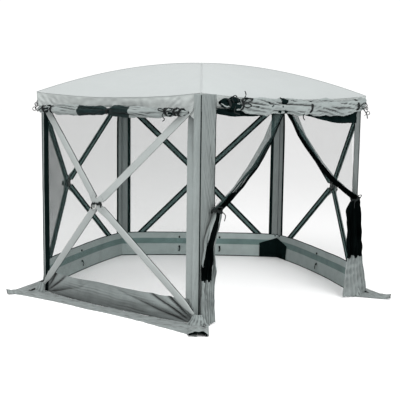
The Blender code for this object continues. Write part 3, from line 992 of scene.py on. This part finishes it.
def door_panel():
    """The door's outer panel, rolled up over the doorway, and the dark hem behind it."""
    angle = DOOR
    mats = [GREY, TRIM]

    def size(x):
        return 0.060 + 0.008 * rough(x * 2.4, 9.0) + 0.012 * (1 - min(1.0, abs(x - 0.05) / 0.6) ** 2)

    def out(x):
        return 0.112 + 0.006 * rough(x * 5, 2.0)

    def height(x):
        return 1.682 - 0.038 * (1 - (x / 0.78) ** 2) + 0.008 * rough(x * 3.1, 4.0)

    def look(i, j):
        x = -0.76 + 1.54 * j
        if x < -0.585:
            return 1 if rough(i * 7, x * 9) > -0.22 else 0
        dark = rough(i * 5 + x * 4, x * 9, 3.0) + 0.4 * rough(i * 14, x * 22, 1.0)
        return 1 if dark > 0.34 and x < -0.05 else 0

    waists = [(-0.69, 0.40), (-0.57, 0.30), (-0.25, 0.10), (0.12, 0.16), (0.66, 0.18)]
    crumpled_roll(
        "door_roll", angle, (-0.76, 0.78), out, height, size, waists, mats, look, 0.32,
        "door_panel_roll",
    )
    for k, (x, r) in enumerate(((-0.69, 0.036), (-0.57, 0.042), (0.12, 0.056), (0.66, 0.047))):
        loop_round(f"door_strap_{k}", angle, x, 0.112, height(x), r, tilt=0.012 * (k % 3 - 1))
    bows = [
        [(-0.66, 0.150, 1.68), (-0.69, 0.165, 1.715), (-0.65, 0.160, 1.730), (-0.62, 0.152, 1.69)],
        [(-0.60, 0.152, 1.67), (-0.55, 0.166, 1.645), (-0.50, 0.162, 1.660), (-0.57, 0.156, 1.69)],
        [(-0.58, 0.152, 1.68), (-0.53, 0.164, 1.712), (-0.49, 0.160, 1.700), (-0.56, 0.156, 1.672)],
        [(-0.58, 0.150, 1.69), (-0.555, 0.158, 1.735), (-0.560, 0.152, 1.765)],
        [(-0.64, 0.150, 1.66), (-0.66, 0.158, 1.61), (-0.61, 0.156, 1.595)],
        [(0.67, 0.160, 1.66), (0.72, 0.168, 1.690), (0.75, 0.164, 1.660), (0.70, 0.160, 1.640)],
        [(0.70, 0.158, 1.65), (0.75, 0.160, 1.60), (0.77, 0.156, 1.560)],
        [(0.05, 0.150, 1.60), (0.03, 0.158, 1.575), (0.05, 0.154, 1.550)],
    ]
    ties("door_tie", angle, bows, 0.0040)

    def hem(i, j):
        x = -0.74 + 1.50 * i
        drop = 0.050 - 0.030 * step(-0.5, 0.0, x) + 0.095 * step(0.0, 0.62, x)
        drop += 0.010 * rough(x * 6, 7.0)
        out_ = 0.050 + 0.012 * rough(x * 8, j * 3) + 0.007 * sin(x * 55 + 3 * rough(x * 3, 1.0))
        top = 1.640 - 0.022 * (1 - (x / 0.78) ** 2)
        return on_wall(angle, x, out_, top - drop * j)

    o = surface("door_hem", hem, 200, 10)
    finish_piece(o, [TRIM], "shelter", thick=0.0010, folds=1.0)


# --- door curtains


def between(pairs, t):
    """The value at t on the broken line through (t, value) pairs."""
    for (a, va), (b, vb) in zip(pairs, pairs[1:]):
        if t <= b:
            return va + (vb - va) * max(0.0, (t - a) / (b - a))
    return pairs[-1][1]


def curtain(side, name):
    """Netting from the top middle to one corner, gathered to a tie, with a cloth foot."""
    left = side < 0
    top, waist, foot = 1.625, 0.865, 0.010
    tie = 0.715 if left else 0.787
    free = (
        [(0, 0.008), (0.29, 0.13), (0.57, 0.30), (0.78, 0.46), (0.93, 0.60), (1, tie - 0.040)]
        if left
        else [(0, 0.008), (0.27, 0.13), (0.54, 0.30), (0.75, 0.46), (0.91, 0.63), (1, tie - 0.042)]
    )
    girth = (
        [(0, 0.030), (0.3, 0.050), (0.55, 0.056), (1, 0.066)]
        if left
        else [(0, 0.040), (0.10, 0.086), (0.45, 0.094), (0.58, 0.090), (0.8, 0.128), (1, 0.150)]
    )
    folds = 6
    seed = 3.0 if left else 9.0

    def point(i, j):
        z = top + (foot - top) * j
        if z > waist:
            t = (top - z) / (top - waist)
            edge = between(free, t)
            outer = 0.755 + (tie + 0.040 - 0.755) * step(0.55, 1.0, t)
            dense = min(0.85 * (outer - edge), 0.022 + 0.075 * t**1.5)
            if i < 0.45:
                x = outer - (outer - edge - dense) * (i / 0.45)
                amp = 0.003 + 0.010 * t * t
            else:
                x = edge + dense * (1 - i) / 0.55
                amp = 0.007 + 0.011 * t
            centre = -0.010 + 0.045 * step(0.1, 1.0, t)
        else:
            t = (waist - z) / (waist - foot)
            half = between(girth, t)
            lean = 0.072 * step(0, 0.35, t) if left else 0.060 * t - 0.022 * step(0, 0.1, t)
            middle = tie + 0.012 * rough(t * 3, seed) + lean
            x = middle + half * (1 - 2 * i)
            amp = (0.016 + 0.008 * step(0, 0.4, t)) * (1 - 0.70 * step(0.50, 0.68, t))
            centre = 0.038 + (0.012 + 0.02 * step(0.8, 1.0, t)) * (1 - (2 * i - 1) ** 2)
        wave = sin(2 * pi * folds * i + 1.6 * rough(z * 2.5, seed) + seed)
        depth = centre + amp * wave + amp * 0.6 * rough(i * 14 + seed, z * 4)
        depth += amp * 0.5 * rough(i * 9 + z * 6, z * 13 + seed)
        if z < 0.36:
            depth -= 0.016 * abs(rough(i * 3 + z * 3 + seed, z * 11, 6.0)) * step(0.36, 0.24, z)
        x += amp * 0.7 * rough(i * 11, z * 6 + seed)
        return on_wall(DOOR, side * x, depth, z)

    def look(i, j):
        z = top + (foot - top) * j
        wavy = 0.03 * rough(i * 5 + seed, 2.0)
        if z < (0.34 if left else 0.355) + wavy:
            return 1
        if z < waist:
            if left:
                core = 0.46 - 0.14 * step(0.62, 0.42, z) + 0.06 * rough(z * 6, 2.0)
                return 2 if abs(i - core) < 0.31 + 0.05 * rough(z * 9, i * 5) else 1
            return 2
        if i > 0.90:
            return 2
        least = 0.02 if left and z > 1.0 else -0.45
        if i > 0.47 and rough(i * 16, z * 3 + seed) > least:
            return 2
        return 3 if i > 0.40 else 0

    mats = [CURTAIN, GREY, BUNCHED, DENSE]
    o = surface(f"curtain_{name}", point, 150, 170, look)

    # Darker below 0.45 m, with random tone.
    def darker_low_tone(p):
        return 0.84 - 0.12 * rough(p.x * 5, p.z * 16, p.y * 5) if p.z < 0.45 else 1.0

    node = f"door_curtain_{name}"
    finish_piece(o, mats, "shelter", node, folds=2.0, tone_of=darker_low_tone)

    points = []
    for k in range(28):
        a = 2 * pi * k / 28
        x = tie + 0.050 * cos(a)
        points.append(on_wall(DOOR, side * x, 0.036 + 0.032 * sin(a), waist + 0.01 * sin(a * 2)))
    o = tube(f"curtain_tie_{name}", points, 0.011, flat=0.14, side=(0, 0, 1), closed=True)
    finish_fitting(o, WEBBING)
    tail = [
        [(side * (tie - 0.02), 0.070, waist), (side * (tie - 0.05), 0.078, waist - 0.03),
         (side * (tie - 0.045), 0.074, waist - 0.075)],
        [(side * (tie + 0.0), 0.070, waist), (side * (tie - 0.02), 0.082, waist + 0.03),
         (side * (tie + 0.03), 0.080, waist + 0.035), (side * (tie + 0.02), 0.070, waist)],
    ]
    ties(f"curtain_bow_{name}", DOOR, tail, 0.0036)


# --- small fittings


def eave_fittings():
    """A strap and two rings under the eave at each corner but the front one."""
    for name, angle in CORNERS.items():
        if name == "front":
            continue
        made = []
        base = RIM - RADIUS + 0.002
        strap = [
            on_corner(angle, base - 0.006, 0, EAVE - 0.075),
            on_corner(angle, base + 0.004, 0.002, EAVE - 0.10),
            on_corner(angle, base + 0.012, 0.004, EAVE - 0.125),
            on_corner(angle, base + 0.006, 0.004, EAVE - 0.15),
            on_corner(angle, base - 0.012, 0.002, EAVE - 0.17),
        ]
        made.append(tube("a", smooth_path(strap), 0.011, flat=0.18, side=polar(angle + 90, 1)))
        where = on_corner(angle, base + 0.018, 0, EAVE - 0.145)
        made.append(tube("b", ring_points(where, 0.015, polar(angle + 90, 1)), 0.0028, closed=True))
        where = on_corner(angle, base + 0.006, 0.014, EAVE - 0.105)
        made.append(tube("c", ring_points(where, 0.012, polar(angle + 50, 1)), 0.0030, closed=True))
        o = joined(f"eave_rings_{name}", made)
        finish_fitting(o, WEBBING)


def toggles():
    """Small toggles and cords on the inner side of the kick panels."""
    for name in ("left", "right", "back"):
        angle = WALLS[name]
        for k, x in enumerate((-0.22, 0.22) if name == "back" else (0.0,)):
            made = []
            for z in (0.205, 0.10):
                out = cloth_out(x, z) - 0.006
                c = on_wall(angle, x, out, z)
                made.append(tube("t", ring_points(c, 0.006, polar(angle, 1), 12), 0.005, closed=True))
            drop = [
                on_wall(angle, x, cloth_out(x, 0.10) - 0.012, 0.10),
                on_wall(angle, x - 0.004, cloth_out(x, 0.08) - 0.020, 0.075),
                on_wall(angle, x + 0.006, cloth_out(x, 0.05) - 0.018, 0.050),
            ]
            made.append(tube("s", smooth_path(drop), 0.007, flat=0.4, side=polar(angle + 90, 1)))
            o = joined(f"kick_toggle_{name}_{k}", made)
            finish_fitting(o, WEBBING)


def dress_cad():
    """Materials for the CAD nodes that stay in view."""
    for name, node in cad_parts.items():
        if node.hide_render:
            continue
        if name.startswith("pole_"):
            look = POLE
        elif name.startswith("pull_ring"):
            look = STEEL
        else:
            look = PLASTIC
        node.data.materials.clear()
        node.data.materials.append(look)


# --- stage, light and camera


def stage():
    """A pale floor, a white world, three soft lamps and the camera."""

    def point(i, j):
        return Vector((240 * (i - 0.5), 240 * (j - 0.5), -0.0005))

    floor = surface("floor", point, 8, 8)
    n = Nodes("floor")
    pale = n.ramp(n.noise(0.7, 2.0), (0.95,) * 3, (0.965,) * 3)
    n.link(pale, n.shader.inputs["Base Color"])
    n.set("Roughness", 0.9)
    n.set("Specular IOR Level", 0.1)
    floor.data.materials.append(n.mat)
    bpy.context.scene.collection.objects.link(floor)

    world = bpy.data.worlds.new("studio")
    bpy.context.scene.world = world
    world.use_nodes = True
    world.node_tree.nodes["Background"].inputs["Color"].default_value = (1, 1, 1, 1)
    world.node_tree.nodes["Background"].inputs["Strength"].default_value = 1.07

    def lamp(name, where, target, size, power):
        light = bpy.data.lights.new(name, "AREA")
        light.energy = power
        light.size = size
        o = bpy.data.objects.new(name, light)
        o.location = where
        o.rotation_euler = (Vector(target) - Vector(where)).to_track_quat("-Z", "Y").to_euler()
        o.visible_camera = False
        bpy.context.scene.collection.objects.link(o)

    lamp("key", (-2.5, -3.0, 7.0), (0, 0, 0.8), 5.0, 330)
    lamp("fill", (3.4, -6.0, 3.2), (0, 0.3, 0.3), 4.0, 330)
    lamp("inside", (0, 0, 1.58), (0, 0.001, 0), 1.7, 9)

    camera = bpy.data.cameras.new("camera")
    camera.lens = 70.0
    camera.sensor_width = 36.0
    camera.clip_end = 500
    seen_from = bpy.data.objects.new("camera", camera)
    place = Matrix.Translation(CENTRE + Vector((0, -7.194, 1.691)))
    tilt = Matrix.Rotation(radians(90 - 7.2855), 4, "X") @ Matrix.Rotation(0.0133, 4, "Z")
    seen_from.matrix_world = place @ tilt
    bpy.context.scene.collection.objects.link(seen_from)
    bpy.context.scene.camera = seen_from
    bpy.context.scene.view_settings.view_transform = "Standard"


roof()
valances()
walls()
strips()
sleeves()
hub_dressing()
skirt()
corner_patch()
wind_panel()
door_panel()
curtain(-1, "left")
curtain(1, "right")
eave_fittings()
toggles()
dress_cad()
stage()
